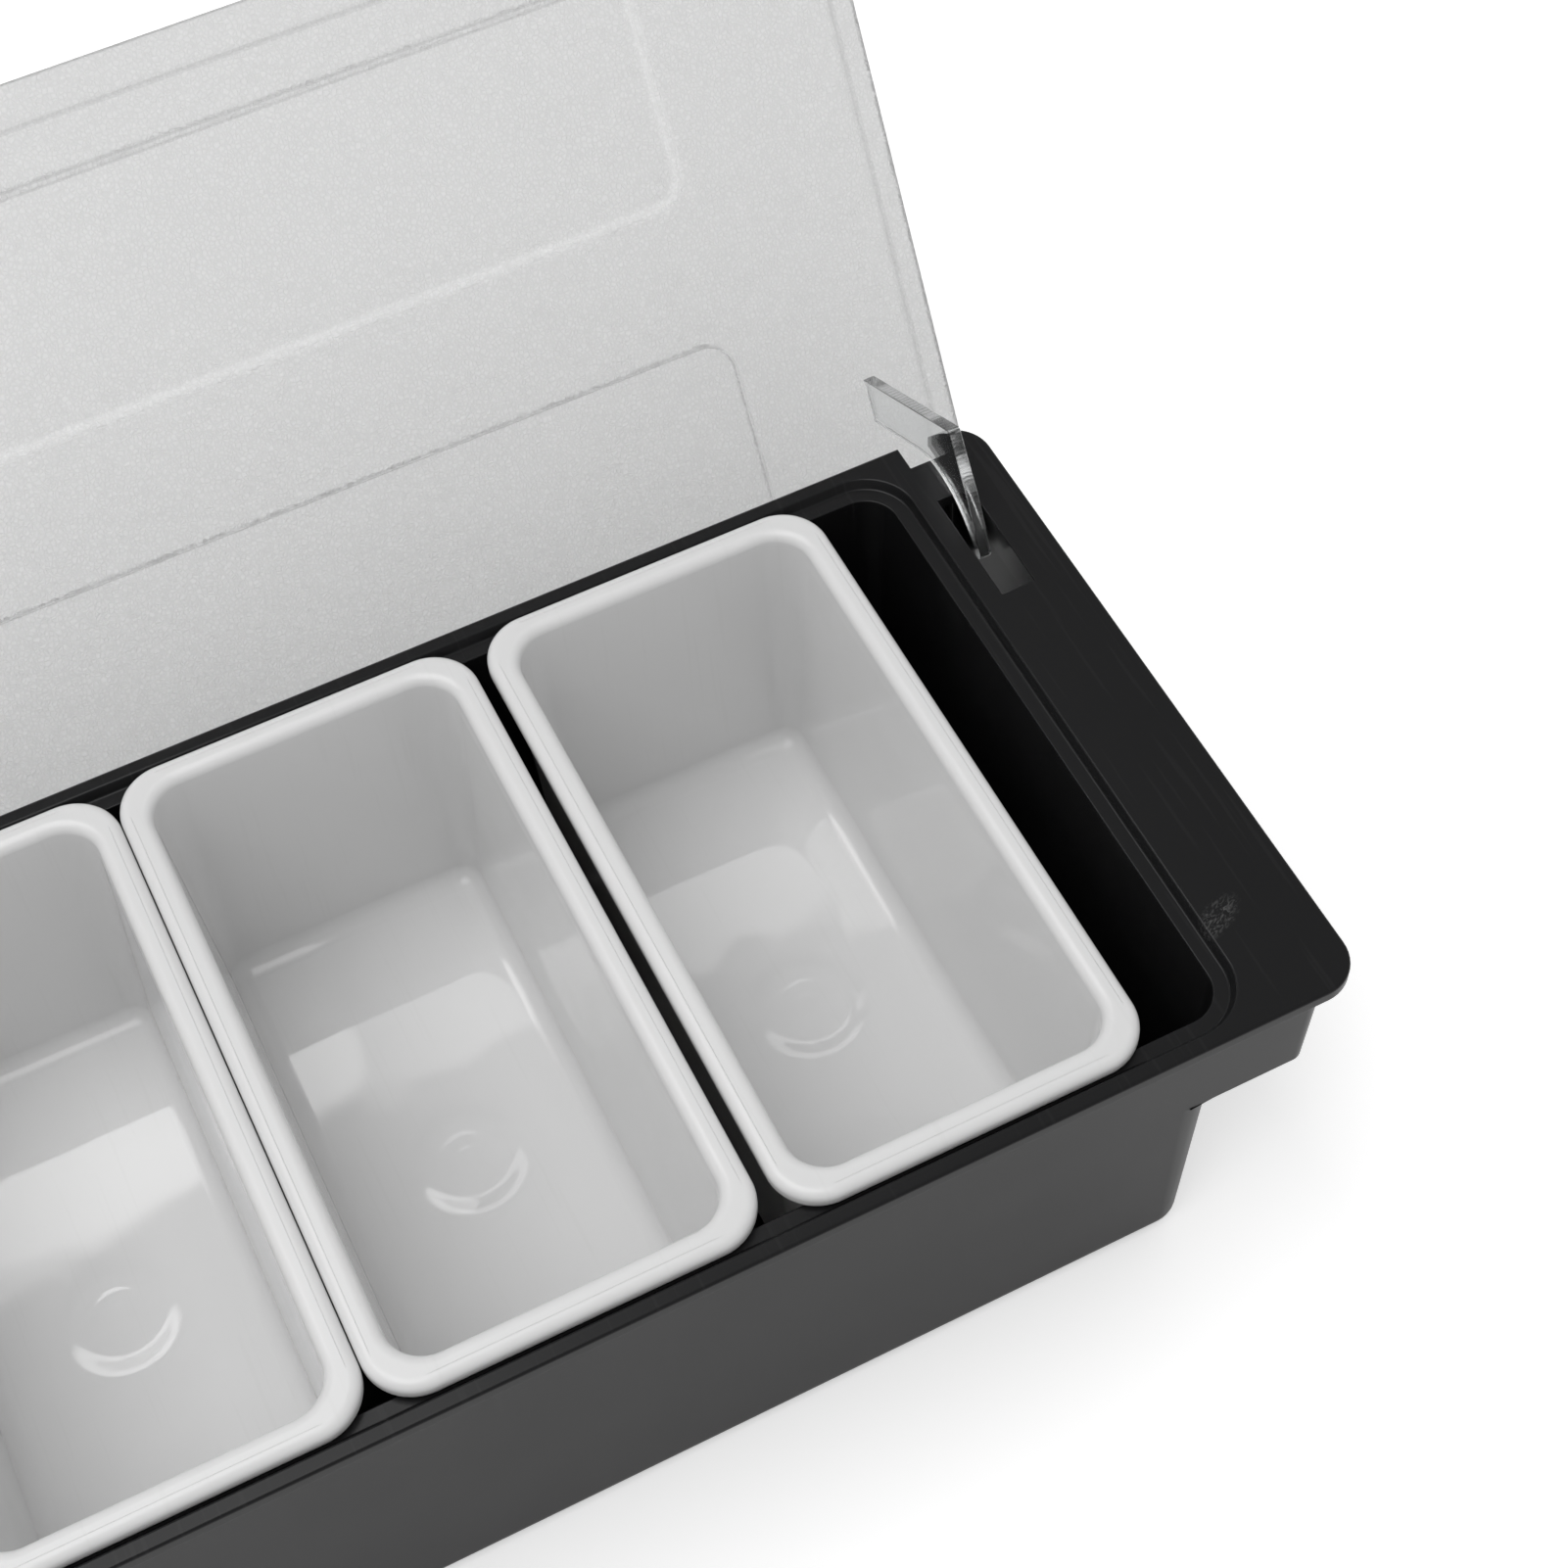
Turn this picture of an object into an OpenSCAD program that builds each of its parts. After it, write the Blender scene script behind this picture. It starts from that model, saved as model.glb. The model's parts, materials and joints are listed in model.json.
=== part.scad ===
// Condiment caddy: a black tub that hangs six white inserts from a ledge, under one clear lid.
// The lid carries two hooks. Each hook drops through a slot in the tub's deck and turns round a bar.
// Origin: centre of the tub's underside. +X runs along the caddy, +Y to its rear, +Z up. Millimetres.

/* [Inserts] */
// Width of an insert's rim, along the caddy
insert_w = 73.6; // [60:0.1:100]
// Length of an insert's rim, front to back
insert_l = 141.4; // [110:0.1:200]
// Height of an insert with its rim
insert_h = 69.8; // [50:0.1:90]
// Corner radius of the rim
insert_r = 10; // [8:0.5:12]
// Corner radius of the body, just under the rim
insert_body_r = 10; // [9:0.5:12]
// How far the rim stands out past the insert's body
rim_overhang = 3.2; // [2.4:0.1:4.5]
// Height of the rim above the ledge
rim_h = 4.3; // [3.6:0.1:6]
// Radius of the rim's outer top edge
rim_edge_r = 1.6; // [0.6:0.1:2.2]
// Radius with which the rim rolls into the cavity
rim_roll_r = 2; // [1:0.1:3]
// Wall of an insert
insert_wall = 2.5; // [1.8:0.1:3.2]
// Floor of an insert
insert_floor = 2.5; // [1.8:0.1:4]
// Radius between an insert's wall and floor, inside
insert_fillet = 5.5; // [2:0.1:7]
// Draft of an insert's wall, in degrees
insert_draft = 3; // [1:0.1:4]
// Gap between two neighbouring rims
insert_gap = 0.2; // [0.2:0.1:2]
// Gap before the last insert, which has slid along a little
last_gap = 2.7; // [0.3:0.1:4]
// Gap between the first rim and the end of the seat
end_play = 0.3; // [0.3:0.1:3]
// Ledge left free beyond the last insert
free_space = 19; // [5:0.1:60]

/* [Tray] */
// Width of the deck at each end, up to the recess
wing_len = 20.8; // [19:0.1:60]
// Width of the deck in front of and behind the recess
deck_strip = 3; // [2.4:0.1:12]
// Thickness of the deck
deck_t = 3.2; // [2.6:0.1:4.5]
// Corner radius of the deck
deck_r = 8; // [3:0.5:12]
// Depth of the recess down to the ledge
ledge_drop = 2; // [1:0.1:2.4]
// How far the recess's edge leans inward
ledge_slope = 1; // [0.4:0.1:2]
// Play between a rim and the recess, on each long side
seat_play = 0.3; // [0.2:0.05:1]
// Play between an insert's body and the opening, on each side
body_play = 0.4; // [0.3:0.05:1]
// Wall of the tub
tub_wall = 3.4; // [2.4:0.1:5]
// Floor of the tub
tub_floor = 3; // [2:0.1:5]
// Free height under the inserts, for ice
ice_space = 20.5; // [10:0.5:60]
// Radius along the tub's bottom edge, outside
tub_fillet = 6.5; // [3:0.1:8]
// Radius between the tub's wall and floor, inside
tub_floor_fillet = 3.5; // [1:0.1:6]
// Draft of the tub and of the skirts, in degrees
tub_draft = 2.5; // [1:0.1:3]
// Thickness of the block that backs the recess
backing_t = 1.5; // [1:0.1:2]
// Depth of the block that backs the recess, below the ledge
backing_drop = 3.2; // [2:0.1:6]

/* [Wings] */
// Height of the skirts, from the top of the deck
skirt_h = 34; // [24:0.5:42]
// Thickness of the skirts
skirt_t = 2.5; // [1.8:0.1:3]
// Inner corner radius of the skirts
skirt_r = 2; // [1.9:0.1:5]
// Distance from the end of the deck to the middle of a slot
slot_in = 12.75; // [12:0.05:14]
// Thickness of the cheeks on both sides of a slot
cheek_t = 1.5; // [1:0.1:1.8]
// Height of the cheeks, from the top of the deck
cheek_h = 8; // [5:0.5:12]
// Length of the bar that a hook turns round, front to back
bar_len = 10.2; // [7:0.1:11]
// Depth of the notch in the deck's rear edge
notch_len = 6; // [5.5:0.1:7]
// How much wider the notch is than the slot, on each side
notch_extra = 0.8; // [0:0.1:1.4]

/* [Lid] */
// How far the lid stands open, in degrees
lid_open = 120; // [0:5:120]
// How far the lid has slid to the right
lid_slide = 0.8; // [0:0.1:1.4]
// Overhang of the lid all round
lid_overhang = 4.4; // [1:0.1:8]
// Thickness of the lid
lid_t = 2.6; // [2:0.1:4]
// Corner radius of the lid
lid_r = 10; // [4:0.5:16]
// Gap between the deck and the closed lid
lid_gap = 4; // [3.5:0.1:6]
// Height of the pressed panels
panel_rise = 0.5; // [0.3:0.05:0.8]
// Corner radius of the pressed panels
panel_r = 7; // [3:0.5:12]
// Distance from the lid's ends to the panels
panel_end = 44; // [35:1:60]
// Distance from the lid's front and rear edge to the panels
panel_side = 17.9; // [14:0.1:22]
// Width of the front panel
front_panel_w = 48.3; // [36:0.1:54]
// Width of the rear panel
rear_panel_w = 45.5; // [36:0.1:54]

/* [Hinge] */
// Distance from the deck's rear edge forward to the hinge line
hinge_in = 10.5; // [9.5:0.1:11]
// Distance from the top of the deck down to the hinge line
hinge_drop = 18; // [17:0.1:21]
// Thickness of a hook
hook_t = 2.6; // [2:0.1:3.6]
// Play between a hook and a side of its slot
hook_side_play = 2.35; // [1.6:0.05:2.6]
// Play between a hook and its bar, and the front of its slot
hook_play = 0.4; // [0.3:0.05:0.6]
// Width of a hook's arm
hook_arm_w = 9.7; // [7:0.1:11]
// Radius of a hook's tip
hook_tip_r = 1.35; // [1:0.05:1.6]
// How far a hook's tip stops in front of the hinge line
hook_tip_in = 1.5; // [0.5:0.1:5]
// How far a hook's heel lies above the underside of its tip
hook_heel_rise = 0.6; // [0:0.1:1]
// Radius of a hook's heel
hook_heel_r = 1; // [0.5:0.1:2]
// How far a hook's belly hangs below its tip
hook_belly = 0.4; // [0:0.1:1]

/* [Hidden] */
$fn = 96;

// The number of inserts, how far a cut runs past what it cuts, and how far a hook's tip blends in
insert_count = 6;
over = 1;
tip_blend = 0.05;

// Colours
black_plastic = [0.13, 0.13, 0.13];
white_plastic = [0.93, 0.93, 0.92];
clear_plastic = [0.82, 0.84, 0.84, 0.6];

// The seat is the recess at the level of the ledge. It holds the row of inserts.
row_len = insert_count * insert_w + (insert_count - 2) * insert_gap + last_gap;
seat_len = end_play + row_len + free_space;
seat_w = insert_l + 2 * seat_play;
tray_len = seat_len + 2 * (ledge_slope + wing_len);
tray_w = seat_w + 2 * (ledge_slope + deck_strip);
tray_h = tub_floor + ice_space + insert_h - rim_h + ledge_drop;

// Every edge round the opening is concentric at the corners. Radii are taken from the core's corners.
ledge_w = rim_overhang + seat_play - body_play;
seat_r = insert_r + seat_play;
opening_r = seat_r - ledge_w;
recess_r = seat_r + ledge_slope;
backing_r = recess_r + backing_t;
tub_r = opening_r + tub_wall;
core = [seat_len - 2 * seat_r, seat_w - 2 * seat_r];
ledge_z = tray_h - ledge_drop;

// Skirts, which stand flush with the tub's front and rear wall
skirt_outer_r = skirt_r + skirt_t;
skirt_edge = deck_strip + recess_r - tub_r;
skirt_core = [tray_len - 2 * (skirt_edge + skirt_outer_r), tray_w - 2 * (skirt_edge + skirt_outer_r)];

// Insert
rim_core = [insert_w - 2 * insert_r, insert_l - 2 * insert_r];
body_core = [for (length = [insert_w, insert_l]) length - 2 * (rim_overhang + insert_body_r)];
cavity_depth = insert_h - insert_floor;
mouth_r = drafted(insert_body_r - insert_wall, -rim_h, insert_draft);
rim_roll_fits = (rim_overhang + insert_body_r - mouth_r - rim_edge_r) / 2;
insert_bottom = ledge_z - (insert_h - rim_h);
first_x = -seat_len / 2 + end_play + insert_w / 2;

// Hinge line and hooks. Places on a hook are taken from the hinge line with the lid closed.
hinge_y = tray_w / 2 - hinge_in;
hinge_z = tray_h - hinge_drop;
bar_rear = hinge_in - notch_len;
bar_front = bar_rear - bar_len;
bar_corner_r = max(norm([bar_front, hinge_drop]), norm([bar_rear, hinge_drop]));
hook_inner_r = bar_corner_r + hook_play;
hook_front = -hook_inner_r - hook_arm_w;
hook_top = hinge_drop + lid_gap;
tip_y = -hook_tip_in;
tip_z = -sqrt(pow(hook_inner_r + hook_tip_r - tip_blend, 2) - pow(hook_tip_in, 2));
heel_z = tip_z - hook_tip_r + hook_heel_rise;
heel_sweep_r = norm([hook_front + hook_heel_r, heel_z + hook_heel_r]) + hook_heel_r;
slot_front = -sqrt(pow(heel_sweep_r, 2) - pow(hinge_drop - deck_t, 2)) - hook_play;
slot_w = hook_t + 2 * hook_side_play;
notch_w = slot_w + 2 * notch_extra;
slot_x = tray_len / 2 - slot_in;

// Lid, drawn closed
lid_size = [tray_len + 2 * lid_overhang, tray_w + 2 * lid_overhang];
panel_len = lid_size.x - 2 * panel_end;
lid_z = tray_h + lid_gap;

// A wall's reach at some depth below the level where it has the radius r
function drafted(r, depth, draft) = r - depth * tan(draft);

// The largest fillet that leaves a flat floor inside the corner
function fitting_fillet(fillet, base_r, draft) = min(fillet, 0.97 * base_r / (1 / cos(draft) - tan(draft)));

// Half the section of a drafted cup, from its corner's axis outwards, with a rounded bottom edge
module cup_half(top_r, height, draft, fillet) {
    base_r = drafted(top_r, height, draft);
    f = fitting_fillet(fillet, base_r, draft);
    centre = base_r + f * tan(draft) - f / cos(draft);
    touch = [centre + f * cos(draft), f * (1 - sin(draft))];
    polygon([[0, 0], [centre, 0], touch, [top_r, height], [0, height]]);
    intersection() {
        translate([centre, f])
            circle(f);
        square([top_r, f]);
    }
}

// Sweeps a section round a rectangle: a quarter turn at each corner and a straight run on each side
module around(size) {
    for (x = [-1, 1], y = [-1, 1])
        translate([x * size.x / 2, y * size.y / 2, 0])
            rotate([0, 0, atan2(y, x) - 45])
                rotate_extrude(angle = 90)
                    children();
    for (side = [0, 180])
        rotate([0, 0, side]) {
            translate([size.x / 2, size.y / 2, 0])
                rotate([90, 0, 0])
                    linear_extrude(size.y)
                        children();
            translate([-size.x / 2, size.y / 2, 0])
                rotate([90, 0, 90])
                    linear_extrude(size.x)
                        children();
        }
}

// A rectangle with round corners, centred
module round_rect(size, r) {
    square([size.x - 2 * r, size.y], center = true);
    square([size.x, size.y - 2 * r], center = true);
    for (x = [-1, 1], y = [-1, 1])
        translate([x * (size.x / 2 - r), y * (size.y / 2 - r)])
            circle(r);
}

// The tub's wall with the ledge, the sloping edge of the recess and the block behind it
module tub_section() {
    difference() {
        union() {
            cup_half(tub_r, tray_h, tub_draft, tub_fillet);
            translate([0, ledge_z - backing_drop])
                square([backing_r, ledge_drop + backing_drop]);
        }
        translate([0, tub_floor])
            cup_half(drafted(opening_r, -over, tub_draft), ledge_z - tub_floor + over, tub_draft, tub_floor_fillet);
        polygon([[0, ledge_z], [seat_r, ledge_z],
                 [recess_r + over * ledge_slope / ledge_drop, tray_h + over], [0, tray_h + over]]);
    }
}

// The deck round the recess
module deck() {
    joint_r = (recess_r + backing_r) / 2;
    translate([0, 0, tray_h - deck_t])
        linear_extrude(deck_t)
            difference() {
                round_rect([tray_len, tray_w], deck_r);
                round_rect([core.x + 2 * joint_r, core.y + 2 * joint_r], joint_r);
            }
}

// The skirts under the wings, open at the bottom. They reach up into the deck, but not up to the ledge.
module skirt_section() {
    top = (ledge_drop + deck_t) / 2;
    polygon([[drafted(skirt_r, top, tub_draft), tray_h - top],
             [drafted(skirt_outer_r, top, tub_draft), tray_h - top],
             [drafted(skirt_outer_r, skirt_h, tub_draft), tray_h - skirt_h],
             [drafted(skirt_r, skirt_h, tub_draft), tray_h - skirt_h]]);
}

// Two cheeks that stiffen the deck beside a slot, back to the rear skirt
module cheeks() {
    run = tray_w / 2 - skirt_edge - skirt_t / 2 - hinge_y - slot_front;
    for (side = [-1, 1])
        translate([slot_x + side * (slot_w + cheek_t) / 2 - cheek_t / 2, hinge_y + slot_front, tray_h - cheek_h])
            cube([cheek_t, run, cheek_h - deck_t / 2]);
}

// The slot for a hook and the notch in the deck behind it, which leave the bar between them
module hook_cuts() {
    cut_z = tray_h - deck_t;
    translate([slot_x - slot_w / 2, hinge_y + slot_front, cut_z - over])
        cube([slot_w, bar_front - slot_front, deck_t + 2 * over]);
    translate([slot_x - notch_w / 2, hinge_y + bar_rear, cut_z])
        cube([notch_w, notch_len + over, deck_t + over]);
}

// The black tub with its deck, ledge, wings and skirts
module tray() {
    color(black_plastic)
        difference() {
            union() {
                around(core)
                    tub_section();
                translate([-core.x / 2, -core.y / 2, 0])
                    cube([core.x, core.y, tub_floor]);
                deck();
                around(skirt_core)
                    skirt_section();
                for (end = [0, 1])
                    mirror([end, 0, 0])
                        cheeks();
            }
            for (end = [0, 1])
                mirror([end, 0, 0])
                    hook_cuts();
        }
}

// Half the section of the rim, from its corner's axis outwards
module rim_half() {
    square([insert_r, rim_h - rim_edge_r]);
    square([insert_r - rim_edge_r, rim_h]);
    translate([insert_r - rim_edge_r, rim_h - rim_edge_r])
        circle(rim_edge_r);
}

// Half the section of the cavity, with the roll at its mouth
module cavity_half() {
    cup_half(drafted(mouth_r, -over, insert_draft), cavity_depth + over, insert_draft, insert_fillet);
    translate([mouth_r, cavity_depth])
        rim_roll(min(rim_roll_r, rim_h / 2, rim_roll_fits));
}

// A block that fills the middle of what a sweep goes round
module middle(size, height) {
    translate([-size.x / 2, -size.y / 2, 0])
        cube([size.x, size.y, height]);
}

// What the roll takes off the rim's inner top edge
module rim_roll(r) {
    centre = [r * (1 - sin(insert_draft)) / cos(insert_draft), -r];
    touch = centre + r * [-cos(insert_draft), sin(insert_draft)];
    difference() {
        polygon([[-over, over], [-over, touch.y], touch, centre, [centre.x, over]]);
        translate(centre)
            circle(r);
    }
}

// One white insert. The sixth has slid along by the last gap.
module food_insert(number) {
    x = first_x + (number - 1) * (insert_w + insert_gap) + (number == insert_count ? last_gap - insert_gap : 0);
    color(white_plastic)
        translate([x, 0, insert_bottom]) {
            difference() {
                union() {
                    around(body_core)
                        cup_half(insert_body_r, insert_h - rim_h, insert_draft, insert_fillet + insert_floor);
                    middle(body_core, insert_h - rim_h);
                    translate([0, 0, insert_h - rim_h]) {
                        around(rim_core)
                            rim_half();
                        middle(rim_core, rim_h);
                    }
                }
                translate([0, 0, insert_floor]) {
                    around(body_core)
                        cavity_half();
                    middle(body_core, cavity_depth + over);
                }
            }
        }
}

// Turns what is drawn closed about the hinge line, to where the lid stands
module opened() {
    translate([lid_slide, hinge_y, hinge_z])
        rotate([-lid_open, 0, 0])
            translate([0, -hinge_y, -hinge_z])
                children();
}

// A pressed panel's outline, with its front edge at y
module panel_outline(y, width) {
    translate([0, y + width / 2])
        round_rect([panel_len, width], panel_r);
}

// The panels, as the sheet's outer face shows them at one level
module panels() {
    panel_outline(-lid_size.y / 2 + panel_side, front_panel_w);
    panel_outline(lid_size.y / 2 - panel_side - rear_panel_w, rear_panel_w);
}

// The clear lid sheet with its two pressed panels
module lid_panel() {
    color(clear_plastic)
        opened()
            translate([0, 0, lid_z])
                difference() {
                    union() {
                        linear_extrude(lid_t)
                            round_rect(lid_size, lid_r);
                        translate([0, 0, lid_t / 2])
                            linear_extrude(lid_t / 2 + panel_rise)
                                panels();
                    }
                    translate([0, 0, -over])
                        linear_extrude(over + panel_rise)
                            panels();
                }
}

// A hook's outline, with the hinge line at its origin: arm, rounded heel, crescent and tip
module hook_outline() {
    heel_flat = 2 * hook_heel_r;
    difference() {
        union() {
            polygon([[hook_front, hook_top], [hook_front, heel_z + hook_heel_r],
                     [hook_front + hook_heel_r, heel_z], [hook_front + heel_flat, heel_z],
                     [hook_front / 2, tip_z - hook_tip_r - hook_belly], [tip_y, tip_z - hook_tip_r],
                     [tip_y, tip_z], [0, 0], [-hook_inner_r, 0], [-hook_inner_r, hook_top]]);
            translate([hook_front + hook_heel_r, heel_z + hook_heel_r])
                circle(hook_heel_r);
            translate([tip_y, tip_z])
                circle(hook_tip_r);
        }
        circle(hook_inner_r);
    }
}

// A clear hook plate, bonded to the lid's underside over its slot
module hook(side) {
    color(clear_plastic)
        opened()
            translate([side * slot_x - hook_t / 2, hinge_y, hinge_z])
                rotate([90, 0, 90])
                    linear_extrude(hook_t)
                        hook_outline();
}

tray();
lid_panel();
hook(-1);  // hook_left
hook(1);  // hook_right
food_insert(1);  // insert_1
food_insert(2);  // insert_2
food_insert(3);  // insert_3
food_insert(4);  // insert_4
food_insert(5);  // insert_5
food_insert(6);  // insert_6
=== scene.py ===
import json
import math

import bmesh
import bpy
from mathutils import Matrix, Vector


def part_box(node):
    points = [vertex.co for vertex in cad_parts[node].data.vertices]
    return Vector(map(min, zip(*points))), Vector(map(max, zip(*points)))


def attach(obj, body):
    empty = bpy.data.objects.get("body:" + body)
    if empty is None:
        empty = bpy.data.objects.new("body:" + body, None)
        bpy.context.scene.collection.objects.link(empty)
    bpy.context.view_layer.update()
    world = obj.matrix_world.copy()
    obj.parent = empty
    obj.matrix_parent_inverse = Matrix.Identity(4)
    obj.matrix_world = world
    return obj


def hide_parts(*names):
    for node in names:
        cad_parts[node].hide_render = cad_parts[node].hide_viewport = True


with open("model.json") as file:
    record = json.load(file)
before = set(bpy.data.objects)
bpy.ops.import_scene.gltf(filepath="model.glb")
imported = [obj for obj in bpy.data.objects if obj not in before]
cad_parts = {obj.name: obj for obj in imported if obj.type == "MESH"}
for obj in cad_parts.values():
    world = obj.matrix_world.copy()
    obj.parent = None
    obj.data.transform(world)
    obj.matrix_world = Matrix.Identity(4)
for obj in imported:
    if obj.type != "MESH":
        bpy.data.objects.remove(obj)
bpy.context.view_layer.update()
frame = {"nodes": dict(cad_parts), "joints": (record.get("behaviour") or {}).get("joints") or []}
mm = 0.001


# ---- The view -------------------------------------------------------------------------------------
# The caddy stands on a plain white table, lit by a wide soft box overhead and pale surroundings. A strip
# lamp and a dimmer panel beside it, both high up behind the caddy, are there for the reflections in
# glossy faces. The camera looks down on the caddy's right half, at the photograph's own angle.

camera_place = Vector((57.1, -268.8, 545.6)) * mm
camera_azimuth = math.radians(-23.43)
camera_elevation = math.radians(56.1)
camera_roll = math.radians(3.63)
image_px = 1601
focal_px = 2941.2
sensor_width = 36.0
principal_px = Vector((797.8, 800.8))

look = Vector((-math.sin(camera_azimuth) * math.cos(camera_elevation),
               math.cos(camera_azimuth) * math.cos(camera_elevation),
               -math.sin(camera_elevation)))
level_right = look.cross(Vector((0, 0, 1))).normalized()
level_up = level_right.cross(look)
camera_up = math.cos(camera_roll) * level_up + math.sin(camera_roll) * level_right
camera_right = look.cross(camera_up)
turn = Matrix((camera_right, camera_up, -look)).transposed().to_4x4()
camera_data = bpy.data.cameras.new("view")
camera_data.sensor_width = sensor_width
camera_data.lens = focal_px / image_px * sensor_width
camera_data.shift_x = (image_px / 2 - principal_px.x) / image_px
camera_data.shift_y = (principal_px.y - image_px / 2) / image_px
camera_data.clip_start = 0.01
camera = bpy.data.objects.new("view", camera_data)
camera.matrix_world = Matrix.Translation(camera_place) @ turn
bpy.context.scene.collection.objects.link(camera)
bpy.context.scene.camera = camera
bpy.context.scene.view_settings.view_transform = "Standard"


def soft_box(name, place, target, width, depth, energy):
    """An area lamp at place that faces target. Its width lies level."""
    lamp = bpy.data.lights.new(name, "AREA")
    lamp.shape = "RECTANGLE"
    lamp.size = width
    lamp.size_y = depth
    lamp.energy = energy
    holder = bpy.data.objects.new(name, lamp)
    holder.matrix_world = (Matrix.Translation(place)
                           @ (Vector(target) - Vector(place)).to_track_quat("-Z", "Y").to_matrix().to_4x4())
    bpy.context.scene.collection.objects.link(holder)
    return holder


overhead_place = (-0.35, 0.0, 1.5)
overhead_target = (0, 0, 0.05)
overhead_width = 1.5
overhead_depth = 1.1
overhead_energy = 12.0
soft_box("overhead_box", overhead_place, overhead_target, overhead_width, overhead_depth, overhead_energy)

rear_lamp_x = -0.12
rear_lamp_z = 1.0
rear_lamp_width = 1.17
# Each lamp's name, the y of its rear and front edges, and its energy
rear_lamps = (("strip", 0.473, 0.425, 0.38), ("dim_panel", 0.556, 0.474, 0.09))
for name, rear_edge, front_edge, energy in rear_lamps:
    middle = (rear_edge + front_edge) / 2
    lamp = soft_box(name, (rear_lamp_x, middle, rear_lamp_z), (rear_lamp_x, middle, 0), rear_lamp_width,
                    rear_edge - front_edge, energy)
    lamp.visible_diffuse = False


def node_in(tree, kind, place, **values):
    """A new node with its properties set by name and its inputs set by index (such as in_0)."""
    made = tree.nodes.new(kind)
    made.location = place
    for name, value in values.items():
        if name.startswith("in_"):
            made.inputs[int(name[3:])].default_value = value
        else:
            setattr(made, name, value)
    return made


# The surroundings are white to the camera and through the clear parts. In reflections they are dimmer, as
# in a studio, so that black plastic stays dark from above and picks up the white table and the lamps.
ambient_level = 0.58
reflected_level = 0.40
world = bpy.data.worlds.new("studio")
bpy.context.scene.world = world
world.use_nodes = True
sky = world.node_tree
background = sky.nodes["Background"]
background.inputs["Color"].default_value = (1, 1, 1, 1)
rays = node_in(sky, "ShaderNodeLightPath", (-900, 0))
seen = node_in(sky, "ShaderNodeMath", (-600, -200), operation="MAXIMUM")
indirect = node_in(sky, "ShaderNodeMix", (-600, 0), in_2=ambient_level, in_3=reflected_level)
level = node_in(sky, "ShaderNodeMix", (-300, 0), in_3=1.0)
for source, target in ((rays.outputs["Is Camera Ray"], seen.inputs[0]),
                       (rays.outputs["Is Transmission Ray"], seen.inputs[1]),
                       (rays.outputs["Is Glossy Ray"], indirect.inputs[0]),
                       (seen.outputs[0], level.inputs[0]),
                       (indirect.outputs[0], level.inputs[2]),
                       (level.outputs[0], background.inputs["Strength"])):
    sky.links.new(source, target)

# The table is matt white. To the camera, and seen through the clear parts, it glows a little, so that it
# reads as white round its shadow. It glows more far out, so that it meets the white surroundings unseen.
table_mesh = bpy.data.meshes.new("table")
table_half = 3.0
table_drop = 0.2 * mm
table_grey = 0.92
near_glow = 0.40
far_glow = 0.62
near_reach = 0.6
far_reach = 1.8
table_mesh.from_pydata([(-table_half, -table_half, 0), (table_half, -table_half, 0),
                        (table_half, table_half, 0), (-table_half, table_half, 0)], [], [(0, 1, 2, 3)])
table = bpy.data.objects.new("table", table_mesh)
table.location.z = -table_drop
bpy.context.scene.collection.objects.link(table)
table_paint = bpy.data.materials.new("table_white")
table_paint.use_nodes = True
table_tree = table_paint.node_tree
table_shader = table_tree.nodes["Principled BSDF"]
table_shader.inputs["Base Color"].default_value = (table_grey, table_grey, table_grey, 1)
table_shader.inputs["Roughness"].default_value = 0.9
table_shader.inputs["Emission Color"].default_value = (1, 1, 1, 1)
table_rays = node_in(table_tree, "ShaderNodeLightPath", (-500, -200))
table_seen = node_in(table_tree, "ShaderNodeMath", (-250, -200), operation="MAXIMUM")
table_glow = node_in(table_tree, "ShaderNodeMath", (-100, -200), operation="MULTIPLY")
table_place = node_in(table_tree, "ShaderNodeTexCoord", (-900, -400))
table_reach = node_in(table_tree, "ShaderNodeVectorMath", (-700, -400), operation="LENGTH")
glow_here = node_in(table_tree, "ShaderNodeMapRange", (-500, -400),
                    in_1=near_reach, in_2=far_reach, in_3=near_glow, in_4=far_glow)
for source, target in ((table_rays.outputs["Is Camera Ray"], table_seen.inputs[0]),
                       (table_rays.outputs["Is Transmission Ray"], table_seen.inputs[1]),
                       (table_place.outputs["Object"], table_reach.inputs[0]),
                       (table_reach.outputs["Value"], glow_here.inputs[0]),
                       (glow_here.outputs[0], table_glow.inputs[1]),
                       (table_seen.outputs[0], table_glow.inputs[0]),
                       (table_glow.outputs[0], table_shader.inputs["Emission Strength"])):
    table_tree.links.new(source, target)
table_mesh.materials.append(table_paint)


# ---- The tub --------------------------------------------------------------------------------------
# One black moulding: the deep tub, the ledge that carries the inserts, the deck with a slot, a bar
# and a notch for each hook, and the hollow skirts. Its satin skin is a little uneven and scuffed.

def node_group(name, inputs, outputs):
    """An empty shader group. inputs and outputs map a name to (socket type, default value)."""
    group = bpy.data.node_groups.new(name, "ShaderNodeTree")
    for side, sockets in (("INPUT", inputs), ("OUTPUT", outputs)):
        for label, (kind, value) in sockets.items():
            socket = group.interface.new_socket(label, in_out=side, socket_type="NodeSocket" + kind)
            if value is not None:
                socket.default_value = value
    group_in = node_in(group, "NodeGroupInput", (-1400, 0))
    group_out = node_in(group, "NodeGroupOutput", (600, 0))
    return group, group_in, group_out


def link_all(tree, *pairs):
    """Links each pair of (output, input)."""
    for source, target in pairs:
        tree.links.new(source, target)


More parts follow.
